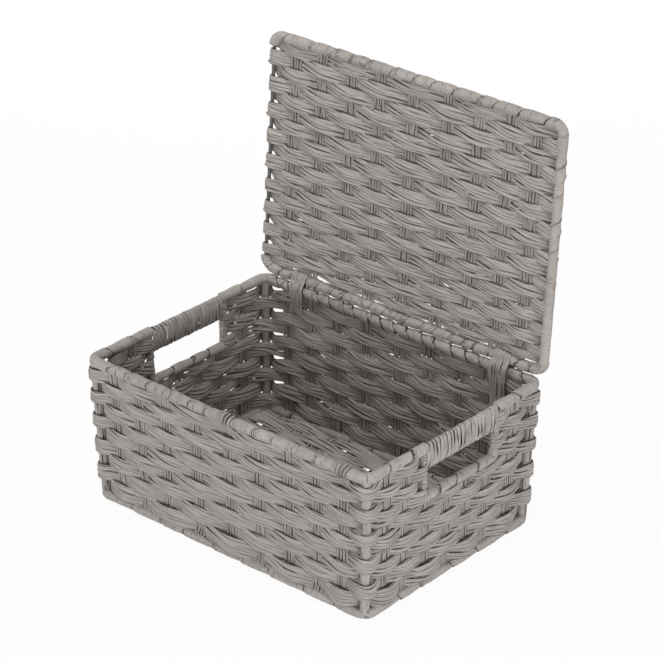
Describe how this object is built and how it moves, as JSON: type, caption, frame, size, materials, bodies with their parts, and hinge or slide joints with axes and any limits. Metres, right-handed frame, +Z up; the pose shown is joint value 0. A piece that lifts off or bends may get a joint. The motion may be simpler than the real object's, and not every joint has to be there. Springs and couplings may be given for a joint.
{
  "type": "woven storage basket",
  "caption": "Rectangular storage basket of flat paper cord woven on a steel wire frame, with hand slots in both short walls and a woven lid tied to the back rim.",
  "frame": {"origin": "on the surface the basket stands on, under the middle of its box with the lid open", "axes": "+X along the front to the right, +Y from the front to the back where the lid is tied, +Z up"},
  "size_m": [0.3624, 0.2794, 0.4117],
  "materials": {
    "weaver_cord": "matte",
    "stake_cord": "matte",
    "binding_cord": "matte",
    "frame_wire": "satin"
  },
  "bodies": {
    "basket": {"rim_wire": "frame_wire", "base_wire": "frame_wire", "post_front_left": "frame_wire", "post_front_right": "frame_wire", "post_back_right": "frame_wire", "post_back_left": "frame_wire", "handle_frame_left": "frame_wire", "handle_frame_right": "frame_wire", "warp_long": "stake_cord", "warp_left": "stake_cord", "warp_right": "stake_cord", "weaver_front_1": "weaver_cord", "weaver_back_1": "weaver_cord", "weaver_front_2": "weaver_cord", "weaver_back_2": "weaver_cord", "weaver_front_3": "weaver_cord", "weaver_back_3": "weaver_cord", "weaver_front_4": "weaver_cord", "weaver_back_4": "weaver_cord", "weaver_ring_5": "weaver_cord", "weaver_ring_6": "weaver_cord", "weaver_ring_7": "weaver_cord", "weaver_ring_8": "weaver_cord", "weaver_ring_9": "weaver_cord", "weaver_ring_10": "weaver_cord", "floor_weaver_1": "weaver_cord", "floor_weaver_2": "weaver_cord", "floor_weaver_3": "weaver_cord", "floor_weaver_4": "weaver_cord", "rim_binding_front": "binding_cord", "rim_binding_back": "binding_cord", "base_binding_front": "binding_cord", "base_binding_back": "binding_cord", "base_binding_left": "binding_cord", "rim_binding_left_front": "binding_cord", "rim_binding_left_back": "binding_cord", "bar_binding_left": "binding_cord", "grip_binding_left": "binding_cord", "base_binding_right": "binding_cord", "rim_binding_right_front": "binding_cord", "rim_binding_right_back": "binding_cord", "bar_binding_right": "binding_cord", "grip_binding_right": "binding_cord", "hinge_tie_left": "binding_cord", "hinge_tie_right": "binding_cord"},
    "lid": {"lid_wire": "frame_wire", "lid_warp": "stake_cord", "lid_weaver_1": "weaver_cord", "lid_weaver_2": "weaver_cord", "lid_weaver_3": "weaver_cord", "lid_weaver_4": "weaver_cord", "lid_weaver_5": "weaver_cord", "lid_binding_front": "binding_cord", "lid_binding_rear": "binding_cord"}
  },
  "joints": [
    {"name": "lid_hinge", "type": "hinge", "parent": "basket", "child": "lid", "pos_m": [0, 0.11645, 0.16273], "axis": [1, 0, 0], "range_deg": [0, 94]}
  ]
}
